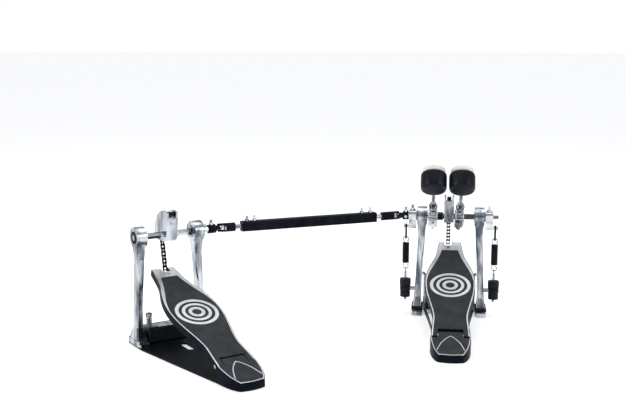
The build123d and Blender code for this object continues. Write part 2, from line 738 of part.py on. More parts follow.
X_AXIS = Vector(1, 0, 0)
SLAVE_X = Vector(*turn(SLAVE, (1, 0, 0)))
pin_d = pin_direction(-X_AXIS)
pin_a = pin_direction(-SLAVE_X)
pin_c = pin_d.cross(LINK_AXIS).normalized()
pin_b = pin_a.cross(LINK_AXIS).normalized()
make_yoke("joint_yoke_d", LINK_RIGHT, X_AXIS, pin_d, 9.2, 20.4)
make_yoke("joint_yoke_c", LINK_RIGHT, -LINK_AXIS, pin_c, 9.7, 34.1, stem=92)
make_yoke("joint_yoke_b", LINK_LEFT, LINK_AXIS, pin_b, 9.7, 28.4, stem=102)
make_yoke("joint_yoke_a", LINK_LEFT, -SLAVE_X, pin_a, 9.2, 22.4)
make_cross("joint_cross_right", LINK_RIGHT, (pin_d, pin_c))
make_cross("joint_cross_left", LINK_LEFT, (pin_a, pin_b))
make_drive_shaft()
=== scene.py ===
# %% [markdown]
# # A twin bass drum pedal
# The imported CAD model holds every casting, shaft, link and joint of a double pedal. This lesson loads it
# and dresses it: polished castings, bright chrome, enamelled treads, wound springs, screws and felt.
# Nothing that the CAD made is moved. A new piece either sits on a CAD part or stands for one.

# %% Load the frame and keep its box
import math

import bmesh
import bpy
from mathutils import Matrix, Vector


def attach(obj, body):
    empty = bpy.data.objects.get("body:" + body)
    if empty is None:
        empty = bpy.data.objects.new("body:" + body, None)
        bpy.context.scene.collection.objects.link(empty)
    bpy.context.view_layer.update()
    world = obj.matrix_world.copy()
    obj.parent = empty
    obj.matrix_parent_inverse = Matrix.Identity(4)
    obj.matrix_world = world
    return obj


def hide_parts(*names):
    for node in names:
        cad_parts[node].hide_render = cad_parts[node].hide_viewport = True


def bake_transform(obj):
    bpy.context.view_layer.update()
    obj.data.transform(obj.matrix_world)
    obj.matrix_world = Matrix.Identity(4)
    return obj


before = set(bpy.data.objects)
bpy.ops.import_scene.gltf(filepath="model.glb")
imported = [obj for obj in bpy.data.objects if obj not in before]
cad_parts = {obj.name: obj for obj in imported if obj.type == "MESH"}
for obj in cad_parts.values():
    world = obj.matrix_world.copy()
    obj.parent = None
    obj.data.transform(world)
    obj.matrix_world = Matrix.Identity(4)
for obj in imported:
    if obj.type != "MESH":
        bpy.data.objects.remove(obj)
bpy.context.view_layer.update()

# %% [markdown]
# Everything is placed from a few sizes of the pedal, in metres. A home is a pedal's own frame: its origin is
# on the floor under the axle, x runs along the axle, y points to the drum. The slave pedal stands turned.

# %% Sizes and the two homes
MM = 0.001
AXLE_H = 0.188
BOSS_HALF = 9.0
TIP = {"primary": (0.0279, 0.1325), "slave": (0.0279, 0.1216)}
HINGE = (-0.235, 0.024)
CHAIN_X = {"primary": -0.00335, "slave": 0.0035}
SLAVE_YAW = math.radians(39.9)
HOME = {
    "primary": Matrix.Identity(4),
    "slave": Matrix.Translation((-0.4868, -0.2277, 0)) @ Matrix.Rotation(SLAVE_YAW, 4, "Z"),
}


def board_frame(pedal):
    """Frame on a tread's top face: origin at its tip, x across, y towards the tip, z out of the face."""
    tip_y, tip_z = TIP[pedal]
    up_board = Vector((0, tip_y - HINGE[0], tip_z - HINGE[1] - 0.0068)).normalized()
    out = Vector((1, 0, 0)).cross(up_board)
    turn = Matrix((Vector((1, 0, 0)), up_board, out)).transposed().to_4x4()
    return HOME[pedal] @ Matrix.Translation((0, tip_y, tip_z)) @ turn


print("boards", [tuple(round(v, 4) for v in board_frame(p).translation) for p in TIP])

# %% [markdown]
# The camera stands where a shopper would look from: behind the pedals, a little above the beaters. It comes
# first, because every later choice is judged through it.

# %% Camera
camera_data = bpy.data.cameras.new("camera")
camera_data.sensor_width = 36.0
camera_data.lens = 55.69
camera = bpy.data.objects.new("camera", camera_data)
bpy.context.scene.collection.objects.link(camera)
camera.location = (-0.0366, -1.8177, 0.5235)
CAMERA_YAW, CAMERA_DROP = 0.1243, 0.1763
camera.rotation_euler = (math.pi / 2 - CAMERA_DROP, 0, CAMERA_YAW)
bpy.context.scene.camera = camera

# %% [markdown]
# A pale floor and large soft lamps, as in a product studio. Polished metal shows only what surrounds it, so
# the world is a ring of light and dark panels under a pale ceiling. Each panel is given by its place round the
# ring and its level. Only the backdrop itself is plain white.

# %% Floor, world and lamps
bpy.ops.object.select_all(action="DESELECT")
bpy.ops.mesh.primitive_plane_add(size=60, location=(0, 0, -0.0006))
floor = bpy.context.object
floor.name = "studio_floor"
paper = bpy.data.materials.new("studio_paper")
paper.use_nodes = True
paper_shader = paper.node_tree.nodes["Principled BSDF"]
paper_shader.inputs["Base Color"].default_value = (0.90, 0.90, 0.90, 1)
paper_shader.inputs["Roughness"].default_value = 0.9
paper_shader.inputs["Emission Color"].default_value = (1, 1, 1, 1)
paper_shader.inputs["Emission Strength"].default_value = 0.42
floor.data.materials.append(paper)

PANELS = [(0.0, 0.85), (0.09, 1.0), (0.15, 0.10), (0.22, 0.32), (0.29, 0.30), (0.35, 0.08), (0.41, 1.0),
          (0.50, 0.8), (0.57, 0.10), (0.66, 0.5), (0.80, 0.5), (0.92, 0.12), (1.0, 0.85)]


def studio_world():
    """White backdrop; for light and reflections a ring of panels under a pale ceiling."""
    world = bpy.data.worlds.new("studio")
    world.use_nodes = True
    tree = world.node_tree
    where = tree.nodes.new("ShaderNodeTexCoord")
    around = tree.nodes.new("ShaderNodeTexGradient")
    around.gradient_type = "RADIAL"
    panels = tree.nodes.new("ShaderNodeValToRGB")
    ramp = panels.color_ramp
    ramp.elements[0].color = (PANELS[0][1],) * 3 + (1,)
    ramp.elements[1].color = (PANELS[-1][1],) * 3 + (1,)
    for at, level in PANELS[1:-1]:
        ramp.elements.new(at).color = (level, level, level, 1)
    height = tree.nodes.new("ShaderNodeSeparateXYZ")
    ceiling = tree.nodes.new("ShaderNodeMapRange")
    ceiling.inputs["From Min"].default_value = 0.25
    ceiling.inputs["From Max"].default_value = 0.75
    room = tree.nodes.new("ShaderNodeMix")
    room.data_type = "RGBA"
    room.inputs["B"].default_value = (0.62, 0.63, 0.65, 1)
    seen = tree.nodes.new("ShaderNodeLightPath")
    view = tree.nodes.new("ShaderNodeMix")
    view.data_type = "RGBA"
    view.inputs["B"].default_value = (1, 1, 1, 1)
    tree.links.new(where.outputs["Generated"], around.inputs["Vector"])
    tree.links.new(where.outputs["Generated"], height.inputs["Vector"])
    tree.links.new(around.outputs["Fac"], panels.inputs["Fac"])
    tree.links.new(height.outputs["Z"], ceiling.inputs["Value"])
    tree.links.new(ceiling.outputs["Result"], room.inputs["Factor"])
    tree.links.new(panels.outputs["Color"], room.inputs["A"])
    tree.links.new(seen.outputs["Is Camera Ray"], view.inputs["Factor"])
    tree.links.new(room.outputs["Result"], view.inputs["A"])
    tree.links.new(view.outputs["Result"], tree.nodes["Background"].inputs["Color"])
    return world


bpy.context.scene.world = studio_world()
bpy.context.scene.view_settings.view_transform = "Standard"


def lamp(name, place, size, power, aim=(-0.2, -0.1, 0.12)):
    """A square soft lamp that faces a point of the set."""
    data = bpy.data.lights.new(name, "AREA")
    data.size = size
    data.energy = power
    obj = bpy.data.objects.new(name, data)
    obj.location = place
    obj.rotation_euler = (Vector(aim) - Vector(place)).to_track_quat("-Z", "Y").to_euler()
    bpy.context.scene.collection.objects.link(obj)


lamp("top_softbox", (-0.2, 0.1, 2.1), 1.6, 15)
lamp("left_softbox", (-1.9, -0.9, 1.2), 0.9, 9)
lamp("right_softbox", (1.6, -0.9, 1.1), 0.9, 7)

# %% [markdown]
# Each finish is a small node tree. A helper makes the shader and its bump, with noise in object space, so a
# pattern keeps its size in metres on every piece. Sheen, coat and specular level are plain socket values.

# %% Material helpers
def shader(name, color, rough, metal=0.0, **sockets):
    """A new material with one principled shader; returns it with its tree and shader."""
    mat = bpy.data.materials.new(name)
    mat.use_nodes = True
    tree = mat.node_tree
    bsdf = tree.nodes["Principled BSDF"]
    bsdf.inputs["Base Color"].default_value = (*color, 1)
    bsdf.inputs["Roughness"].default_value = rough
    bsdf.inputs["Metallic"].default_value = metal
    for socket, value in sockets.items():
        bsdf.inputs[socket.replace("_", " ")].default_value = value
    mat.diffuse_color = (*color, 1)
    return mat, tree, bsdf


def noise(tree, scale, detail=3.0, stretch=(1, 1, 1)):
    """Noise on object coordinates, stretched along an axis where the grain runs."""
    where = tree.nodes.new("ShaderNodeTexCoord")
    mapping = tree.nodes.new("ShaderNodeMapping")
    mapping.inputs["Scale"].default_value = stretch
    field = tree.nodes.new("ShaderNodeTexNoise")
    field.inputs["Scale"].default_value = scale
    field.inputs["Detail"].default_value = detail
    tree.links.new(where.outputs["Object"], mapping.inputs["Vector"])
    tree.links.new(mapping.outputs["Vector"], field.inputs["Vector"])
    return field


def span(tree, source, low, high, from_low=0.3, from_high=0.7):
    """Maps a field to a range of values."""
    ramp = tree.nodes.new("ShaderNodeMapRange")
    ramp.inputs["From Min"].default_value = from_low
    ramp.inputs["From Max"].default_value = from_high
    ramp.inputs["To Min"].default_value = low
    ramp.inputs["To Max"].default_value = high
    tree.links.new(source, ramp.inputs["Value"])
    return ramp.outputs["Result"]


def tint(tree, bsdf, source, dark, light):
    """Colour between two tones."""
    mix = tree.nodes.new("ShaderNodeMix")
    mix.data_type = "RGBA"
    mix.inputs["A"].default_value = (*dark, 1)
    mix.inputs["B"].default_value = (*light, 1)
    tree.links.new(source, mix.inputs["Factor"])
    tree.links.new(mix.outputs["Result"], bsdf.inputs["Base Color"])


def bump(tree, bsdf, source, depth, strength=1.0):
    """Fine relief from a field, its depth in metres."""
    node = tree.nodes.new("ShaderNodeBump")
    node.inputs["Distance"].default_value = depth
    node.inputs["Strength"].default_value = strength
    tree.links.new(source, node.inputs["Height"])
    tree.links.new(node.outputs["Normal"], bsdf.inputs["Normal"])


# %% [markdown]
# Castings are tumbled aluminium: bright, slightly cool, with a soft ripple left by the mould. Their tone varies,
# and is drawn out along the posts into dark and light streaks that are painted reflections. A coarse cloud gives
# tone and relief, and a finer grain makes the gloss uneven.

# %% Metal finishes
def metal_finish(name, dark, light, rough, ripple, grain, stretch=(1, 1, 1), relief_and_painted_reflection_streak=(1, 1, 1)):
    """Bare or plated metal with a wavy surface, cloudy tone and uneven gloss; a cloud drawn out into streaks paints
    reflections into the tone.
    """
    mat, tree, bsdf = shader(name, light, rough, 1.0)
    cloud = noise(tree, 38, 4, relief_and_painted_reflection_streak)
    fine = noise(tree, grain, 3, stretch)
    tint(tree, bsdf, span(tree, cloud.outputs["Fac"], 0, 1, 0.38, 0.62), dark, light)
    tree.links.new(span(tree, fine.outputs["Fac"], rough * 0.7, rough * 1.5), bsdf.inputs["Roughness"])
    bump(tree, bsdf, cloud.outputs["Fac"] if ripple > 0.0001 else fine.outputs["Fac"], ripple)
    return mat


# The cast alloy's tone is drawn out into dark and light streaks along the posts: painted reflections on top of the
# alloy's own uneven tone.
cast_alloy = metal_finish("cast_alloy", (0.09, 0.11, 0.14), (0.58, 0.61, 0.65), 0.18, 0.0012, 900,
                          relief_and_painted_reflection_streak=(1.5, 1.5, 0.4))
chrome = metal_finish("bright_chrome", (0.26, 0.27, 0.30), (0.68, 0.69, 0.72), 0.07, 0.0003, 500)
plated_steel = metal_finish("zinc_plate", (0.24, 0.25, 0.27), (0.42, 0.43, 0.45), 0.22, 0.00005, 1500)
shaft_steel = metal_finish("ground_shaft", (0.08, 0.09, 0.10), (0.20, 0.21, 0.23), 0.17, 0.00003, 1200,
                           stretch=(1, 8, 8))
silver_trim = metal_finish("silver_trim", (0.62, 0.64, 0.66), (0.76, 0.77, 0.78), 0.42, 0.00003, 1800)

# %% [markdown]
# Black parts differ more than they seem to. Enamel and oxide are smooth and hardly shine, moulded plastic has
# a fine spark finish with a thin clear coat, rubber is dull, and the tread is coarse and matt.

# %% Black finishes
def black_finish(name, dark, light, rough, grain, depth, coat=0.0, gloss=0.12):
    """Dark surface with a fine texture and a faint change of tone."""
    mat, tree, bsdf = shader(name, light, rough, Coat_Weight=coat, Coat_Roughness=0.2,
                             Specular_IOR_Level=gloss)
    cloud = noise(tree, 55, 3)
    fine = noise(tree, grain, 2)
    tint(tree, bsdf, span(tree, cloud.outputs["Fac"], 0, 1), dark, light)
    tree.links.new(span(tree, fine.outputs["Fac"], rough * 0.85, rough * 1.15), bsdf.inputs["Roughness"])
    bump(tree, bsdf, fine.outputs["Fac"], depth)
    return mat


enamel = black_finish("black_enamel", (0.003, 0.005, 0.010), (0.008, 0.011, 0.019), 0.4, 1600, 0.00006,
                      gloss=0.02)
oxide = black_finish("black_oxide", (0.003, 0.004, 0.008), (0.011, 0.013, 0.020), 0.4, 1200, 0.00006,
                     gloss=0.04)
moulded = black_finish("spark_moulding", (0.003, 0.004, 0.008), (0.008, 0.010, 0.017), 0.36, 2200, 0.00006,
                       coat=0.08)
tread = black_finish("tread_grain", (0.030, 0.033, 0.036), (0.047, 0.051, 0.055), 0.7, 1500, 0.00030)
rubber = black_finish("rubber", (0.008, 0.009, 0.011), (0.016, 0.017, 0.021), 0.7, 900, 0.0001)
spring_black = black_finish("coated_spring", (0.003, 0.003, 0.004), (0.009, 0.009, 0.011), 0.3, 1500, 0.00003,
                            coat=0.15)

# %% [markdown]
# Pressed felt scatters light in its loose fibres. A wool noise drawn out in two directions gives the fibre
# relief, and sheen lifts the rim of the disc.

# %% Felt
def make_felt():
    """Off-white wool, clouded, with fibre relief."""
    mat, tree, bsdf = shader("pressed_felt", (0.86, 0.85, 0.81), 0.95, Sheen_Weight=0.6, Sheen_Roughness=0.5)
    fibre = noise(tree, 700, 6, (1, 1, 3))
    cloud = noise(tree, 90, 3)
    tint(tree, bsdf, span(tree, cloud.outputs["Fac"], 0, 1), (0.78, 0.77, 0.72), (0.93, 0.92, 0.89))
    bump(tree, bsdf, fibre.outputs["Fac"], 0.0009)
    return mat


felt = make_felt()

# %% [markdown]
# The CAD parts that are already the right shape keep their mesh and only get their finish.

# %% Finishes of the CAD parts
def finish_of(node):
    """The material for a CAD node, chosen by what the piece is."""
    if node.endswith(("post_left", "post_right", "cross_block", "_cam")) or node == "hoop_clamp_jaw":
        return cast_alloy
    if node.endswith(("footboard", "heel_plate")):
        return enamel
    if "chain" in node or node.startswith("joint_yoke") or node in ("drive_tube", "slave_base_plate"):
        return oxide
    if node.endswith("_spring_hook"):
        return oxide
    if node.endswith("_beater_head"):
        return moulded
    if node.endswith("_felt"):
        return felt
    if node.endswith("knobs"):
        return moulded
    if node == "main_axle":
        return shaft_steel
    if node.endswith(("_hub", "_rocker", "_beater_rod", "key_bolts", "slave_axle", "_shaft")):
        return chrome
    return plated_steel


for node_name, node_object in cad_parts.items():
    node_object.data.materials.clear()
    node_object.data.materials.append(finish_of(node_name))
print("finished", len(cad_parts), "CAD nodes")

# %% [markdown]
# Most new pieces start as one grid primitive. Every corner of the grid is carried to a place worked out from
# its two fractions, across and along, so one helper makes plates, ribbons, turned parts and bent wire. Seams
# are merged afterwards, open ends are filled, and the faces are turned outwards.

# %% Modelling helpers
def shaped_grid(name, columns, rows, place, matrix=None, close=False):
    """A grid whose corners go to place(across, along), both from 0 to 1."""
    bpy.ops.object.select_all(action="DESELECT")
    bpy.ops.mesh.primitive_grid_add(x_subdivisions=columns, y_subdivisions=rows, size=2)
    piece = bpy.context.object
    piece.name = name
    matrix = matrix or Matrix.Identity(4)
    for corner in piece.data.vertices:
        across, along = (corner.co.x + 1) / 2, (corner.co.y + 1) / 2
        corner.co = matrix @ Vector(place(across, along))
    if close:
        bpy.ops.object.mode_set(mode="EDIT")
        bpy.ops.mesh.select_all(action="SELECT")
        bpy.ops.mesh.remove_doubles(threshold=1e-6)
        bpy.ops.mesh.fill_holes(sides=0)
        bpy.ops.mesh.normals_make_consistent(inside=False)
        bpy.ops.object.mode_set(mode="OBJECT")
    return piece


def finish_piece(piece, material, body, smooth=35):
    """Gives a piece its finish, its smoothing and the body that it rides on."""
    bpy.ops.object.select_all(action="DESELECT")
    piece.select_set(True)
    bpy.context.view_layer.objects.active = piece
    bpy.ops.object.shade_smooth_by_angle(angle=math.radians(smooth))
    piece.data.materials.clear()
    piece.data.materials.append(material)
    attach(piece, body)
    return piece


def thicken(piece, depth, bevel=0.0, segments=2):
    """Solidify a sheet away from its face, and round its edges."""
    bpy.context.view_layer.objects.active = piece
    shell = piece.modifiers.new("thickness", "SOLIDIFY")
    shell.thickness = depth
    shell.offset = 1
    bpy.ops.object.modifier_apply(modifier=shell.name)
    if bevel:
        edge = piece.modifiers.new("edge", "BEVEL")
        edge.width = bevel
        edge.segments = segments
        edge.limit_method = "ANGLE"
        bpy.ops.object.modifier_apply(modifier=edge.name)
    return piece


def lathe(name, profile, matrix, sides=48):
    """A turned part: profile is a list of (radius, height) from the bottom to the top."""
    steps = len(profile) - 1

    def place(across, along):
        radius, height = profile[round(along * steps)]
        turn = across * 2 * math.pi
        return radius * math.cos(turn), radius * math.sin(turn), height

    return shaped_grid(name, sides, steps, place, matrix, close=True)


def in_metres(profile):
    """A profile given in millimetres."""
    return [(r * MM, h * MM) for r, h in profile]


def wire(name, path, radius, steps, sides=10, matrix=None):
    """A round wire along path(t), t from 0 to 1."""
    points = [Vector(path(i / steps)) for i in range(steps + 1)]
    tangents = [
        (points[min(i + 1, steps)] - points[max(i - 1, 0)]).normalized() for i in range(steps + 1)
    ]
    normal = tangents[0].orthogonal().normalized()
    frames = []
    for tangent in tangents:
        normal = (normal - tangent * normal.dot(tangent)).normalized()
        frames.append((normal.copy(), tangent.cross(normal)))

    def place(across, along):
        i = round(along * steps)
        turn = across * 2 * math.pi
        return points[i] + (frames[i][0] * math.cos(turn) + frames[i][1] * math.sin(turn)) * radius

    return shaped_grid(name, sides, steps, place, matrix, close=True)


def facing(place, direction, spin=0.0):
    """Frame at a place with z along a direction."""
    return Matrix.Translation(place) @ Vector(direction).to_track_quat("Z", "Y").to_matrix().to_4x4() \
        @ Matrix.Rotation(spin, 4, "Z")


def cut_box(piece, matrix, size):
    """Cuts a box out of a piece."""
    bpy.ops.object.select_all(action="DESELECT")
    bpy.ops.mesh.primitive_cube_add(size=1)
    cutter = bpy.context.object
    cutter.matrix_world = matrix @ Matrix.Diagonal((*size, 1))
    bpy.context.view_layer.objects.active = piece
    cut = piece.modifiers.new("cut", "BOOLEAN")
    cut.object = cutter
    bpy.ops.object.modifier_apply(modifier=cut.name)
    bpy.data.objects.remove(cutter)


# %% [markdown]
# The tread is a casting whose bright rim frames a dark, coarse panel. The waist is given by half widths at a
# few distances behind the tip, joined by a smooth curve. A silver layer covers the whole face, and the panel
# lies on it, so the rim that stays free is the border line that runs round the real one.

# %% Tread outline
BOARD_MARKS = [(0, 20.5), (26, 23.5), (54, 28), (80, 36.5), (108, 43), (136, 45.2), (164, 43.2), (190, 38.3),
               (216, 33), (238, 30.4), (262, 31.6), (289.2, 33)]
PANEL_MARKS = [(30, 15.2), (54, 20.7), (81, 29.5), (98, 35.5), (114, 39.6), (124, 41.2)]
NOTCH_START, NOTCH_HALF = 270.0, 21.5
TREAD_END = 288.9
RIM_INSET, BORDER = 1.0, 3.1
JOINT_GAP = 0.2


def smooth_through(marks, at):
    """Half width at a distance behind the tip, on a curve through the marks."""
    for i in range(len(marks) - 1):
        (s1, w1), (s2, w2) = marks[i], marks[i + 1]
        if at <= s2:
            break
    s0, w0 = marks[max(i - 1, 0)]
    s3, w3 = marks[min(i + 2, len(marks) - 1)]
    t = (at - s1) / (s2 - s1)
    m1 = (w2 - w0) / (s2 - s0) * (s2 - s1)
    m2 = (w3 - w1) / (s3 - s1) * (s2 - s1)
    return (2 * t**3 - 3 * t**2 + 1) * w1 + (t**3 - 2 * t**2 + t) * m1 \
        + (3 * t**2 - 2 * t**3) * w2 + (t**3 - t**2) * m2


def rim_width(at):
    return smooth_through(BOARD_MARKS, at)


def panel_width(at):
    """Half width of the dark panel: its own flare near the tip, then the rim less its border."""
    own = smooth_through(PANEL_MARKS, at) if at < PANEL_MARKS[-1][0] else 99
    return min(own, rim_width(at) - BORDER)


def face_layer(name, plane, start, end, right_at, left_at=None, lift=0.0, depth=0.3, rows=96, columns=12,
               bevel=0.0):
    """A thin layer on a plane that lies between two distances behind its origin and two edges."""
    left_at = left_at or (lambda at: -right_at(at))

    def place(across, along):
        at = end + (start - end) * along
        return (left_at(at) + (right_at(at) - left_at(at)) * across) * MM, -at * MM, lift * MM

    return thicken(shaped_grid(name, columns, rows, place, plane), depth * MM, bevel * MM)


# %% [markdown]
# Some parts are small machined or moulded blocks. Each starts as a cube primitive at its size. Its edges are
# bevelled, and where the real one has a step or a groove, a face is inset and pushed in.

# %% Blocks with worked faces
def worked_block(name, matrix, size, bevel=0.001, inset=None, push=0.0, face=(0, 0, 1)):
    """A bevelled block; the face that looks along one local direction may be inset and pushed."""
    bpy.ops.object.select_all(action="DESELECT")
    bpy.ops.mesh.primitive_cube_add(size=1)
    block = bpy.context.object
    block.name = name
    for corner in block.data.vertices:
        corner.co = Vector(c * s for c, s in zip(corner.co, size))
    bpy.ops.object.mode_set(mode="EDIT")
    bpy.ops.mesh.select_all(action="SELECT")
    bpy.ops.mesh.bevel(offset=bevel, segments=3, affect="EDGES")
    if inset:
        mesh = bmesh.from_edit_mesh(block.data)
        way = Vector(face)
        far = max(f.calc_center_median().dot(way) for f in mesh.faces)
        for f in mesh.faces:
            outermost = f.calc_center_median().dot(way) > far - 1e-6
            f.select_set(outermost and f.normal.dot(way) > 0.999)
        bmesh.update_edit_mesh(block.data)
        bpy.ops.mesh.inset(thickness=inset, depth=0)
        bpy.ops.transform.translate(value=way * push)
    bpy.ops.object.mode_set(mode="OBJECT")
    for corner in block.data.vertices:
        corner.co = matrix @ corner.co
    return block


# %% [markdown]
# The graphic on the panel is a plain set of rings, like ripples on a drum head. Each ring is a grid bent
# round on itself, a fraction of a millimetre above the panel.

# %% Tread dressing
RING_MIDDLE = 144.0
RINGS = [(30.5, 36.5), (19.5, 25.0), (8.0, 14.0)]
TIP_SCREW = 21.0
TIP_SCREW_PROFILE = [(0, -3.0), (2.0, -3.0), (2.0, 0.4), (3.0, 0.45),
                     (2.7, 1.1), (1.4, 1.3), (1.3, 0.7), (0, 0.7)]


def ring_layer(name, pedal, inner, outer, lift, depth):
    """A flat ring on the tread."""

    def place(across, along):
        turn = along * 2 * math.pi
        radius = (inner + (outer - inner) * across) * MM
        return radius * math.cos(turn), -RING_MIDDLE * MM + radius * math.sin(turn), lift * MM

    ring = shaped_grid(name, 2, 72, place, board_frame(pedal))
    bpy.ops.object.mode_set(mode="EDIT")
    bpy.ops.mesh.select_all(action="SELECT")
    bpy.ops.mesh.remove_doubles(threshold=1e-6)
    bpy.ops.object.mode_set(mode="OBJECT")
    return thicken(ring, depth * MM)


def dress_tread(pedal):
    """Rim, panels, rings and screw of one tread."""
    body = f"{pedal}_board"
    on_board = board_frame(pedal)
    panel_end = NOTCH_START - JOINT_GAP
    rim = face_layer(f"{pedal}_tread_rim", on_board, 0.3, panel_end, lambda at: rim_width(at) - RIM_INSET,
                     lift=0.02, depth=0.35)
    cut_box(rim, on_board @ Matrix.Translation((CHAIN_X[pedal], -6 * MM, 0)), (0.0142, 0.0134, 0.01))
    finish_piece(rim, silver_trim, body)
    panel = face_layer(f"{pedal}_tread_panel", on_board, PANEL_MARKS[0][0], panel_end, panel_width, lift=0.36,
                       depth=0.7, bevel=0.25)
    finish_piece(panel, tread, body)
    for side in (-1, 1):
        trim = face_layer(f"{pedal}_ear_trim_{side + 1}", on_board, panel_end, TREAD_END,
                          lambda at: side * (rim_width(at) - RIM_INSET), lambda at: side * (rim_width(at) - BORDER),
                          lift=0.02, depth=0.36, rows=16, columns=1)
        finish_piece(trim, silver_trim, body)
        ear = face_layer(f"{pedal}_ear_panel_{side + 1}", on_board, panel_end, TREAD_END,
                         lambda at: side * (rim_width(at) - BORDER), lambda at: side * NOTCH_HALF,
                         lift=0.02, depth=1.0, rows=16, columns=3)
        finish_piece(ear, tread, body)
    for number, (inner, outer) in enumerate(RINGS):
        ring = ring_layer(f"{pedal}_tread_ring_{number}", pedal, inner, outer, 1.05, 0.2)
        finish_piece(ring, silver_trim, body)
    screw_place = on_board @ Matrix.Translation((CHAIN_X[pedal], -TIP_SCREW * MM, 0)) @ Matrix.Scale(MM, 4)
    screw = lathe(f"{pedal}_tip_screw", TIP_SCREW_PROFILE, screw_place, 24)
    finish_piece(screw, chrome, body)


for pedal in TIP:
    dress_tread(pedal)
print("treads dressed")

# %% [markdown]
# The heel plate leaves the tread's line at the hinge and falls more gently. Its dark panel is edged with a
# fine silver line, and a pointed arch is drawn on it in the same silver. Lines are ribbons: a narrow grid that
# keeps square to a smooth path through a few points.

# %% Heel plates
HEEL_FRONT, HEEL_BACK, HEEL_REAR_Z = -0.2455, -0.2985, 0.012
EDGE_MARKS = [(-32.2, 0.5), (-30.8, 14), (-27.4, 31.6), (-20.6, 48.9), (-17.2, 50.8), (0, 52.4)]
LINE_WIDTH = 1.5
PAD_START, PAD_END = 0.4, 52.2
TONGUE_START, TONGUE_HALF = -16.6, 20.2
ARCH_MARKS = [(-22.6, 38.5), (-19.9, 29.5), (-15.4, 16.7), (-7.2, 3.4), (0, -4.0)]


def heel_frame(pedal):
    """Frame on a heel plate's top: origin at its front edge, y towards the tread."""
    tip_y, tip_z = TIP[pedal]
    slope = (tip_z - HINGE[1] - 0.0068) / (tip_y - HINGE[0])
    front_z = HINGE[1] + 0.0068 + slope * (HEEL_FRONT - HINGE[0])
    up_heel = Vector((0, HEEL_FRONT - HEEL_BACK, front_z - HEEL_REAR_Z)).normalized()
    out = Vector((1, 0, 0)).cross(up_heel)
    turn = Matrix((Vector((1, 0, 0)), up_heel, out)).transposed().to_4x4()
    return HOME[pedal] @ Matrix.Translation((0, HEEL_FRONT, front_z)) @ turn


def path_through(marks, t):
    """A point of the smooth curve through marks on one side, and its mirror on the other."""
    side = 1 if t > 0.5 else -1
    u = (1 - abs(t - 0.5) * 2) * (len(marks) - 1)
    i = min(int(u), len(marks) - 2)
    u -= i
    p0, p1, p2, p3 = (marks[max(i - 1, 0)], marks[i], marks[i + 1], marks[min(i + 2, len(marks) - 1)])
    x, at = (0.5 * (2 * b + (c - a) * u + (2 * a - 5 * b + 4 * c - d) * u**2 + (3 * b - a - 3 * c + d) * u**3)
             for a, b, c, d in zip(p0, p1, p2, p3))
    return -side * x, at


def ribbon(name, plane, marks, width, lift, depth, steps=96):
    """A flat line on a plane along the curve through marks."""

    def place(across, along):
        x, at = path_through(marks, along)
        x2, at2 = path_through(marks, min(along + 0.006, 1.0))
        x1, at1 = path_through(marks, max(along - 0.006, 0.0))
        way = Vector((x2 - x1, at1 - at2)).normalized()
        shift = (across - 0.5) * width
        return (x - way.y * shift) * MM, (-at + way.x * shift) * MM, lift * MM

    line = shaped_grid(name, 1, steps, place, plane)
    if line.data.polygons[0].normal.dot(plane.to_3x3().col[2]) < 0:
        line.data.flip_normals()
    return thicken(line, depth * MM)


def heel_half_width(at):
    """Half width inside the heel plate's silver line."""
    marks = [(y, -x) for x, y in EDGE_MARKS[:4]]
    if at <= marks[-1][0]:
        return smooth_through(marks, at)
    return marks[-1][1] * math.sqrt(max(0.0, 1 - ((at - marks[-1][0]) / 4.2) ** 2)) ** 0.8


for pedal in TIP:
    on_heel = heel_frame(pedal)
    body = f"{pedal}_frame"
    for label, marks in (("edge", EDGE_MARKS), ("arch", ARCH_MARKS)):
        line = ribbon(f"{pedal}_heel_{label}", on_heel, marks, LINE_WIDTH, 0.02, 0.75)
        finish_piece(line, silver_trim, body)
    pad = face_layer(f"{pedal}_heel_panel", on_heel, PAD_START, PAD_END, heel_half_width, lift=0.02, depth=0.5,
                     rows=60)
    finish_piece(pad, tread, body)
    tongue = face_layer(f"{pedal}_tongue_panel", on_heel, TONGUE_START, PAD_START, lambda at: TONGUE_HALF,
                        lift=0.02, depth=0.5, rows=2, columns=2)
    finish_piece(tongue, tread, body)

# %% [markdown]
# Beater heads are moulded shells with a barrel shape and a domed back. A superellipse gives the outline: a
# high power keeps the sides straight and the ends nearly flat, with an even round between them.

# %% Beaters
LEAN = math.radians(55)
OUT = Vector((0, -math.sin(LEAN), math.cos(LEAN)))
STRIKE = Vector((0, math.cos(LEAN), math.sin(LEAN)))
BEATER_X = {"left": -0.0335, "right": 0.0155}
HEAD_REACH, ROD_OFFSET = 0.162, 0.0115
HEAD_BACK, HEAD_FRONT, FELT_FACE = -0.0148, 0.0182, 0.0267


def rod_point(side, reach):
    """A point on a beater rod, at a distance from the shaft."""
    return Vector((BEATER_X[side], 0, AXLE_H)) + OUT * reach - STRIKE * ROD_OFFSET


def head_profile():
    """Half outline of a head, back to front, in metres."""
    outline = [(0.0, HEAD_BACK)]
    for i in range(1, 24):
        turn = math.pi * (i / 24 - 0.5)
        power = 0.44 if turn < 0 else 0.24
        height = math.copysign(abs(math.sin(turn)) ** power, turn) * (HEAD_FRONT - HEAD_BACK) / 2
        outline.append((0.0228 * math.cos(turn) ** 0.20, height + (HEAD_FRONT + HEAD_BACK) / 2))
    outline.append((0.0, HEAD_FRONT))
    return outline


def felt_profile():
    """Half outline of the felt disc: flat, with pressed round edges and a slightly full face."""
    base, face = HEAD_FRONT - 0.0008, FELT_FACE
    return [(0, base), (0.0186, base), (0.0197, base + 0.0014), (0.0200, (base + face) / 2),
            (0.0198, face - 0.0012), (0.0190, face - 0.0004), (0.0150, face - 0.0001), (0.0080, face), (0, face)]


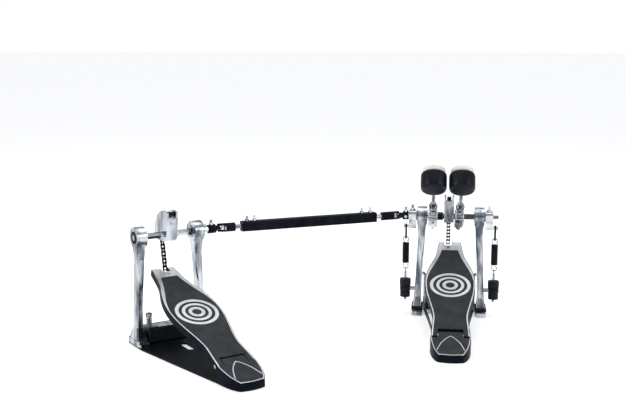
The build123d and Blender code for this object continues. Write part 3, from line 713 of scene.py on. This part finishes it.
for side in BEATER_X:
    strike_frame = facing(rod_point(side, HEAD_REACH), STRIKE)
    body = f"{side}_beater"
    head = lathe(f"{side}_head_shell", head_profile(), strike_frame, 64)
    finish_piece(head, moulded, body, 40)
    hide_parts(f"{side}_beater_head")
    disc = lathe(f"{side}_felt_disc", felt_profile(), strike_frame, 64)
    finish_piece(disc, felt, body, 50)
    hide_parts(f"{side}_beater_felt")
    socket = facing(rod_point(side, HEAD_REACH - 0.0295), OUT)
    collar = lathe(f"{side}_head_collar", [(0.0031, 0), (0.0052, 0), (0.0058, 0.0008), (0.0058, 0.009),
                                           (0.0031, 0.0095)], socket, 32)
    finish_piece(collar, chrome, body)

# %% [markdown]
# The return springs are close wound. One wire runs round and round at a pitch just over its own thickness,
# and a ring hooks into each end.

# %% Springs
SPRING_X, SPRING_Y = 0.0835, -0.003
COIL_LOW, COIL_HIGH = 0.0955, 0.1372
EYE_R, EYE_WIRE = 0.005, 0.0009
COIL_TURNS = 20
COIL_R = 0.00555


def make_spring(side, sign):
    """Coil and eyes of one return spring."""
    middle = Vector((sign * SPRING_X, SPRING_Y, 0))

    def coil(t):
        turn = t * COIL_TURNS * 2 * math.pi
        return middle + Vector((COIL_R * math.cos(turn), COIL_R * math.sin(turn),
                                COIL_LOW + 0.0009 + t * (COIL_HIGH - COIL_LOW - 0.0018)))

    def eye(z, up):
        def path(t):
            turn = math.radians(-62 + 304 * t) + (0 if up else math.pi)
            return middle + Vector((EYE_R * math.cos(turn), 0, z + EYE_R * math.sin(turn)))
        return path

    winding = wire(f"{side}_spring_coil", coil, 0.00095, COIL_TURNS * 20, 8)
    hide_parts(f"{side}_spring")
    bpy.context.view_layer.objects.active = winding
    finish_coil(winding)
    for label, z, up, body in (("lower_eye", COIL_LOW - EYE_R - 0.0004, False, f"{side}_spring_lower"),
                               ("upper_eye", COIL_HIGH + EYE_R + 0.0004, True, f"{side}_spring_top")):
        loop = wire(f"{side}_spring_{label}", eye(z, up), EYE_WIRE, 40, 10)
        finish_piece(loop, plated_steel, body, 60)


def finish_coil(winding):
    """Black coating and smooth shading, with the coil's place baked into its mesh."""
    winding.data.materials.append(spring_black)
    for face in winding.data.polygons:
        face.use_smooth = True
    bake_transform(winding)


for side, sign in (("left", -1), ("right", 1)):
    make_spring(side, sign)

# %% [markdown]
# The tension knobs are knurled barrels. Their grip is a turned part whose radius rises and falls round the
# circle; the stud's eye sits between them in the same black moulding.

# %% Tension knobs
def knurled(name, low, high, radius, flutes, depth, x):
    """A barrel with flutes round it and rounded ends, bored for the rod."""
    levels = [(0.0026, 0, 0), (radius - 0.0016, 0, 0), (radius - 0.0004, 0.0004, 0), (radius, 0.0016, 1),
              (radius, high - low - 0.0016, 1), (radius - 0.0004, high - low - 0.0004, 0),
              (radius - 0.0016, high - low, 0), (0.0026, high - low, 0)]

    def place(across, along):
        base, height, fluted = levels[round(along * (len(levels) - 1))]
        turn = across * 2 * math.pi
        reach = base - fluted * depth * (0.5 + 0.5 * math.cos(flutes * turn))
        return x + reach * math.cos(turn), SPRING_Y + reach * math.sin(turn), low + height

    barrel = shaped_grid(name, flutes * 6, len(levels) - 1, place)
    bpy.ops.object.mode_set(mode="EDIT")
    bpy.ops.mesh.select_all(action="SELECT")
    bpy.ops.mesh.remove_doubles(threshold=1e-6)
    bpy.ops.mesh.select_all(action="DESELECT")
    bpy.ops.mesh.select_non_manifold(extend=False)
    bpy.ops.mesh.bridge_edge_loops()
    bpy.ops.mesh.select_all(action="SELECT")
    bpy.ops.mesh.normals_make_consistent(inside=False)
    bpy.ops.object.mode_set(mode="OBJECT")
    return barrel


for side, sign in (("left", -1), ("right", 1)):
    x = sign * SPRING_X
    upper = knurled(f"{side}_upper_knob", 0.0523, 0.066, 0.0106, 18, 0.0007, x)
    lock = knurled(f"{side}_lock_nut", 0.030, 0.0415, 0.0096, 18, 0.0007, x)
    middle_barrel = knurled(f"{side}_stud_barrel", 0.0419, 0.0521, 0.0103, 18, 0.0002, x)
    for piece in (upper, lock):
        finish_piece(piece, moulded, f"{side}_knobs")
    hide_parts(f"{side}_tension_knobs")
    finish_piece(middle_barrel, moulded, f"{side}_spring_lower")

# %% [markdown]
# Every clamp on the pedal is tightened by the same key bolt, turned by a drum key: a collar, a flanged nut
# and a tall square head with softened corners. It is modelled once as turned parts and placed many times.

# %% Key bolts and screws
def square_post(name, half, low, high, matrix):
    """The square head: a four-sided turned part whose corners are bevelled."""
    post = lathe(name, [(half * 1.25, low), (half * 1.25, high - 0.0006), (half * 0.9, high)], matrix, 4)
    edge = post.modifiers.new("edge", "BEVEL")
    edge.width = half * 0.22
    edge.segments = 2
    bpy.ops.object.modifier_apply(modifier=edge.name)
    return post


def key_bolt(name, place, direction, body, size=1.0, spin=0.4):
    """A drum key bolt that stands on a face."""
    at = facing(place, direction, spin)
    k = MM * size
    profile = [(0, 0), (3.6, 0), (3.6, 1.2), (4.6, 1.4), (4.6, 2.6), (3.2, 3.2), (2.4, 4.4), (0, 4.4)]
    base = lathe(f"{name}_collar", [(r * k, h * k) for r, h in profile], at, 28)
    head = square_post(f"{name}_square", 2.4 * k, 4.0 * k, 10.0 * k, at)
    for piece in (base, head):
        finish_piece(piece, chrome, body)


def socket_screw(name, place, direction, body, radius=0.0032, height=0.0026):
    """A cap screw with a hexagon socket."""
    at = facing(place, direction)
    profile = [(0.5, 0.25), (0.5, 1), (0.86, 1), (1, 0.85), (1, 0), (0, 0)]
    cap = lathe(f"{name}_cap", [(r * radius, h * height) for r, h in profile], at, 24)
    finish_piece(cap, chrome, body)


def in_home(pedal, x, y, z):
    """A point given in millimetres of a pedal's own frame."""
    return HOME[pedal] @ Vector((x * MM, y * MM, z * MM))


def toward(pedal, x, y, z):
    """A direction of a pedal's own frame."""
    return HOME[pedal].to_3x3() @ Vector((x, y, z))


UP, BACK = (0, 0, 1), (0, -1, 0)
ROCKER_X, YOKE_D_X, YOKE_A_X, SLAVE_HUB_X = -71.8, -84.5, 83.5, 72.0
AXLE_MM = AXLE_H / MM
key_bolt("left_rocker_key", in_home("primary", ROCKER_X, 0, AXLE_MM + 10), UP, "beater_shaft", 1.1)
key_bolt("yoke_d_key", in_home("primary", YOKE_D_X, 0, AXLE_MM + 7.2), UP, "beater_shaft", 0.95)
key_bolt("yoke_d_rear_key", in_home("primary", YOKE_D_X, -7.2, AXLE_MM - 1), BACK, "beater_shaft", 0.6)
key_bolt("yoke_a_key", in_home("slave", YOKE_A_X, 0, AXLE_MM + 7.4), UP, "slave_shaft", 0.95)
key_bolt("slave_hub_key", in_home("slave", SLAVE_HUB_X, 0, AXLE_MM + 5), UP, "slave_shaft", 0.45)

CAM_SCREWS = (28, 19)
CAM_REAR, CAM_SLANT = -12.6, 0.14
for pedal in TIP:
    shaft = "main_shaft" if pedal == "primary" else "slave_shaft"
    for number, height in enumerate(CAM_SCREWS):
        slanted = CAM_REAR + (CAM_SCREWS[0] - height) * CAM_SLANT
        rear = in_home(pedal, CHAIN_X[pedal] / MM, slanted, AXLE_MM + height)
        square_to_slant = toward(pedal, 0, -0.99, -CAM_SLANT)
        socket_screw(f"{pedal}_cam_screw_{number}", rear, square_to_slant, shaft, 0.0030, 0.0022)

HUB_SCREWS, HUB_DEPTH = (0.008, 0.024), 0.0052
for side in BEATER_X:
    shaft = "beater_shaft" if side == "left" else "main_shaft"
    for step, reach in enumerate(HUB_SCREWS):
        place = rod_point(side, reach) - STRIKE * HUB_DEPTH
        socket_screw(f"{side}_hub_screw_{step}", place, -STRIKE, shaft, 0.0031, 0.0024)

# %% [markdown]
# The beater holders are stacks: above each split block a grooved clamp grips the rod. Higher up, a hexagon
# collar with its own screw rides on the rod, and keeps the beater's height when the rod is taken out.

# %% Beater holders
HOLDER_BLOCKS = [(33.5, (15.5, 13.5, 7.5)), (41.6, (13.0, 12.0, 6.8)), (49.6, (15.0, 13.0, 7.6))]
COLLAR_REACH, COLLAR_SCREW = 64.0, 4.9
COLLAR_PROFILE = [(3.3, 0), (6.8, 0), (7.8, 1.0), (7.8, 9.0), (6.8, 10.3), (3.3, 10.3)]


def rod_frame(side, reach):
    """Frame on a beater rod: x across the pedal, z along the rod, y towards the strike."""
    turn = Matrix((Vector((1, 0, 0)), STRIKE, OUT)).transposed().to_4x4()
    return Matrix.Translation(rod_point(side, reach)) @ turn


def behind_rod(side, reach, gap):
    """A point behind a rod, where a screw of its clamp stands."""
    return rod_point(side, reach * MM) - STRIKE * gap * MM


for side in BEATER_X:
    shaft = "beater_shaft" if side == "left" else "main_shaft"
    for step, (reach, size) in enumerate(HOLDER_BLOCKS):
        piece = worked_block(f"{side}_holder_{step}", rod_frame(side, reach * MM), [v * MM for v in size],
                             0.0012, 0.0022, -0.0012, (0, -1, 0))
        finish_piece(piece, plated_steel if step == 1 else chrome, shaft)
    collar = lathe(f"{side}_rod_collar", in_metres(COLLAR_PROFILE), rod_frame(side, COLLAR_REACH * MM), 6)
    finish_piece(collar, chrome, f"{side}_beater", 20)
    holder_screw = behind_rod(side, HOLDER_BLOCKS[-1][0], 5.8)
    collar_screw = behind_rod(side, COLLAR_REACH + COLLAR_SCREW, 6.2)
    socket_screw(f"{side}_holder_screw", holder_screw, -STRIKE, shaft, 0.0034, 0.0030)
    socket_screw(f"{side}_collar_screw", collar_screw, -STRIKE, f"{side}_beater", 0.0026, 0.0030)

# %% [markdown]
# A black plastic collar spaces the left hub from the cam, and thin bright rings sit beside the rockers and the
# slave pedal's cam.

# %% Spacers on the shafts
def shaft_collar(name, pedal, start, end, radius, body, material=moulded):
    """A ring round the axle between two places on it, with a groove in the middle."""
    across = HOME[pedal] @ Matrix.Translation((start * MM, 0, AXLE_H)) @ Matrix.Rotation(math.pi / 2, 4, "Y")
    span_mm = end - start
    profile = [(radius * 0.72, 0), (radius - 0.5, 0), (radius, 0.5), (radius, span_mm * 0.42),
               (radius - 0.5, span_mm * 0.46), (radius - 0.5, span_mm * 0.54), (radius, span_mm * 0.58),
               (radius, span_mm - 0.5), (radius - 0.5, span_mm), (radius * 0.72, span_mm)]
    collar = lathe(name, in_metres(profile), across, 40)
    finish_piece(collar, material, body)


shaft_collar("beater_spacer", "primary", -24.4, -14.5, 7.6, "beater_shaft")
shaft_collar("rocker_ring_left", "primary", -65.0, -63.6, 8.6, "beater_shaft", plated_steel)
shaft_collar("rocker_ring_right", "primary", 63.6, 65.0, 8.6, "main_shaft", plated_steel)
shaft_collar("slave_cam_ring", "slave", 13.4, 16.5, 7.4, "slave_shaft", chrome)

# %% [markdown]
# Each boss carries a bearing behind a dark outer seal and a bright inner ring. The primary pedal's feet have a
# dark rubber band above their steel step: painted shade that stands in for the shadow in a recess of each foot's
# rear face.

# %% Seals and painted foot shade
POST_X, FOOT_X = 53.5, 60.0
SEAL_RADII = (6.4, 10.6)
FOOT_SHADE_PLACE, FOOT_SHADE_SIZE = (-2.2, 11.9), (0.0214, 0.0412, 0.0054)


def boss_ring(name, pedal, x, direction, radii, body, material):
    """A ring seated in the mouth of a boss, its face a little inside the rim."""
    place = in_home(pedal, x, 0, AXLE_MM)
    at = facing(place, toward(pedal, direction, 0, 0))
    inner, outer = radii
    profile = [(inner, -0.6), (inner, 0.5), (inner + 0.6, 0.9),
               (outer - 0.6, 0.9), (outer, 0.5), (outer, -0.6)]
    finish_piece(lathe(name, in_metres(profile), at, 40), material, body)


for pedal in TIP:
    for side_name, sign in (("left", -1), ("right", 1)):
        boss_ring(f"{pedal}_{side_name}_outer_seal", pedal, sign * (POST_X + BOSS_HALF), sign, SEAL_RADII,
                  f"{pedal}_frame", rubber)
        boss_ring(f"{pedal}_{side_name}_inner_seal", pedal, sign * (POST_X - BOSS_HALF), -sign, SEAL_RADII,
                  f"{pedal}_frame", plated_steel)

# The dark rubber band on each primary foot is painted shade: it stands in for the shadow in a recess of the foot's
# rear face.
for side_name, sign in (("left", -1), ("right", 1)):
    place = Matrix.Translation(in_home("primary", sign * FOOT_X, *FOOT_SHADE_PLACE))
    foot_shade_band = worked_block(f"{side_name}_shoe", place, FOOT_SHADE_SIZE, 0.0016)
    finish_piece(foot_shade_band, rubber, "primary_frame")

# %% [markdown]
# The bar between the feet of each pedal has a dark rubber block in its rear channel: painted shade that stands in
# for the shadow on the bar's recessed rear face. On the slave pedal an anchor
# bolt stands beside it: a cap screw on a spring, which is screwed down into the floor mat.

# %% Painted channel shade and the anchor bolt
# The dark rubber block in each bar's rear channel is painted shade: it stands in for the shadow on the bar's
# recessed rear face.
CHANNEL_SHADE_BLOCKS = {"primary": ((0, -15.6, 16), (88, 5, 13.4)), "slave": ((-16, -18.2, 18.5), (62, 7, 23))}
for pedal, (place, size) in CHANNEL_SHADE_BLOCKS.items():
    shade_block_place = HOME[pedal] @ Matrix.Translation(Vector(place) * MM)
    piece = worked_block(f"{pedal}_channel_shade_block", shade_block_place, [v * MM for v in size], 0.0010, 0.0016, -0.0006,
                         (0, -1, 0))
    finish_piece(piece, rubber, f"{pedal}_frame")

ANCHOR = (-43.0, -9.0)
BAR_TOP = 31.0
bolt_frame = HOME["slave"] @ Matrix.Translation((ANCHOR[0] * MM, ANCHOR[1] * MM, BAR_TOP * MM))
anchor_profile = [(0, -1), (2.6, -1), (2.5, 17.6), (3.0, 18.0), (5.2, 18.4), (5.8, 19.2), (5.8, 23.6),
                  (5.0, 24.6), (2.9, 24.6), (2.9, 22), (0, 22)]
anchor = lathe("anchor_bolt", anchor_profile, bolt_frame @ Matrix.Scale(MM, 4), 28)
finish_piece(anchor, chrome, "slave_frame")


def anchor_coil(t):
    """The anchor bolt's spring, from the plate to the cap."""
    turn = t * 4.5 * 2 * math.pi
    return Vector((4.3 * math.cos(turn), 4.3 * math.sin(turn), 3 + t * 14)) * MM


anchor_spring = wire("anchor_spring", anchor_coil, 0.0008, 108, 8, bolt_frame)
finish_piece(anchor_spring, plated_steel, "slave_frame", 60)
ear_plate = worked_block("anchor_plate", bolt_frame @ Matrix.Translation((4 * MM, 0, 0.8 * MM)),
                         (0.020, 0.016, 0.0026), 0.0009, 0.002, -0.0004)
finish_piece(ear_plate, plated_steel, "slave_frame")

# %% [markdown]
# A pale retaining clip sits in a slit of each fork on the drive shaft, and the rods that slide in its square
# tube are plated bright.

# %% Joint clips and rod plating
def along_link(distance):
    """A point on the drive shaft's axis, from the left joint to the right."""
    return LINK_LEFT + LINK_AXIS * distance * MM


LINK_RIGHT = Vector((-0.0997, 0, AXLE_H))
LINK_LEFT = HOME["slave"] @ Vector((0.0997, 0, AXLE_H))
LINK_AXIS = (LINK_RIGHT - LINK_LEFT).normalized()
LINK_LENGTH = (LINK_RIGHT - LINK_LEFT).length / MM
CLIP_REACH = 9.5
for label, distance in (("left", CLIP_REACH), ("right", LINK_LENGTH - CLIP_REACH)):
    to_rear = -LINK_AXIS.cross(Vector((0, 0, 1))).normalized()
    clip_turn = Matrix((LINK_AXIS, to_rear, Vector((0, 0, 1)))).transposed().to_4x4()
    clip_place = Matrix.Translation(along_link(distance) - to_rear * 7.6 * MM)
    clip = worked_block(f"joint_clip_{label}", clip_place @ clip_turn, (0.0030, 0.0016, 0.0065), 0.0005)
    finish_piece(clip, plated_steel, f"drive_{label}")

ROD_SPANS = [("left", 28.5, 130.0), ("right", LINK_LENGTH - 126.0, LINK_LENGTH - 34.2)]
for label, start, end in ROD_SPANS:
    profile = [(3.4, start), (4.15, start + 0.2), (4.15, end - 0.2), (3.4, end)]
    plating = lathe(f"{label}_rod_plating", in_metres(profile), facing(LINK_LEFT, LINK_AXIS), 40)
    finish_piece(plating, chrome, f"drive_{label}")
print("drive shaft", round(LINK_LENGTH, 1), "mm between its joints")
